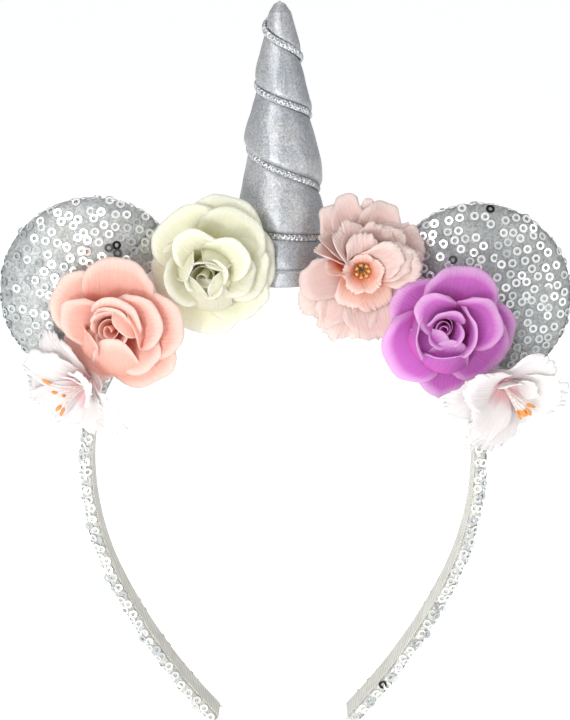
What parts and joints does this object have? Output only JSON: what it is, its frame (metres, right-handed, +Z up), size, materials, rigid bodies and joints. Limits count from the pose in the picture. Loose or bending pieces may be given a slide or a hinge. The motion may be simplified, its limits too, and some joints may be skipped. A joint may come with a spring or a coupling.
{
  "type": "costume headband",
  "caption": "Alice band covered in sequin mesh, with a stuffed spiral horn, two round padded sequin ears and fabric flowers.",
  "frame": {"origin": "centre of the arc of the band's lining that sits on the head, at the middle of the band's width", "axes": "-Y is the front, where the flowers face; +Z is up through the horn; +X is to the right in a front view"},
  "size_m": [0.1945, 0.0461, 0.2539],
  "materials": {
    "band_plastic": "moulded, satin, fully covered",
    "grosgrain": "fine cross-ribbed ribbon, light grey ivory",
    "silver_mesh": "knitted mesh over satin with a fine glitter",
    "sequin_film": "thin metallised film rings, slightly iridescent",
    "silver_lame": "satin-coated metallic knit, soft highlights",
    "metallic_cord": "braided metallic yarn",
    "polyester_fill": "loose hollow-fibre stuffing",
    "foam_padding": "soft foam sheet",
    "stiffener_board": "thin semi-rigid board",
    "felt": "pressed felt, white",
    "flower_plastic": "moulded soft plastic",
    "petal_coral": "heat-shaped polyester petal, coral fading to cream edges",
    "petal_ivory": "heat-shaped polyester petal, ivory with yellow-green depths",
    "petal_violet": "heat-shaped polyester petal, violet with lighter edges",
    "petal_peach": "thin translucent peach petal with a warmer centre",
    "petal_white": "thin white petal with a pink throat",
    "stamen_yellow": "waxed thread with glossy tips",
    "stamen_orange": "waxed thread with glossy tips"
  },
  "bodies": {
    "root": {"band_core": "band_plastic", "band_lining_ribbon": "grosgrain", "band_sequin_mesh": "silver_mesh", "band_sequins": "sequin_film", "horn_cover": "silver_lame", "horn_stuffing": "polyester_fill", "horn_cord": "metallic_cord", "horn_base_disc": "stiffener_board", "left_felt_patch": "felt", "right_felt_patch": "felt", "left_ear_stiffener": "stiffener_board", "left_ear_front_padding": "foam_padding", "left_ear_back_padding": "foam_padding", "left_ear_front_cover": "silver_mesh", "left_ear_back_cover": "silver_mesh", "left_ear_sequins": "sequin_film", "right_ear_stiffener": "stiffener_board", "right_ear_front_padding": "foam_padding", "right_ear_back_padding": "foam_padding", "right_ear_front_cover": "silver_mesh", "right_ear_back_cover": "silver_mesh", "right_ear_sequins": "sequin_film", "coral_rose_hub": "flower_plastic", "coral_rose_outer_petals": "petal_coral", "coral_rose_middle_petals": "petal_coral", "coral_rose_inner_petals": "petal_coral", "coral_rose_bud": "petal_coral", "ivory_rose_hub": "flower_plastic", "ivory_rose_outer_petals": "petal_ivory", "ivory_rose_middle_petals": "petal_ivory", "ivory_rose_inner_petals": "petal_ivory", "ivory_rose_bud": "petal_ivory", "violet_rose_hub": "flower_plastic", "violet_rose_outer_petals": "petal_violet", "violet_rose_middle_petals": "petal_violet", "violet_rose_inner_petals": "petal_violet", "violet_rose_bud": "petal_violet", "peach_blossom_hub": "flower_plastic", "peach_blossom_outer_petals": "petal_peach", "peach_blossom_middle_petals": "petal_peach", "peach_blossom_inner_petals": "petal_peach", "peach_blossom_stamens": "stamen_yellow", "left_white_blossom_hub": "flower_plastic", "left_white_blossom_petals": "petal_white", "left_white_blossom_stamens": "stamen_orange", "right_white_blossom_hub": "flower_plastic", "right_white_blossom_petals": "petal_white", "right_white_blossom_stamens": "stamen_orange"}
  },
  "joints": []
}
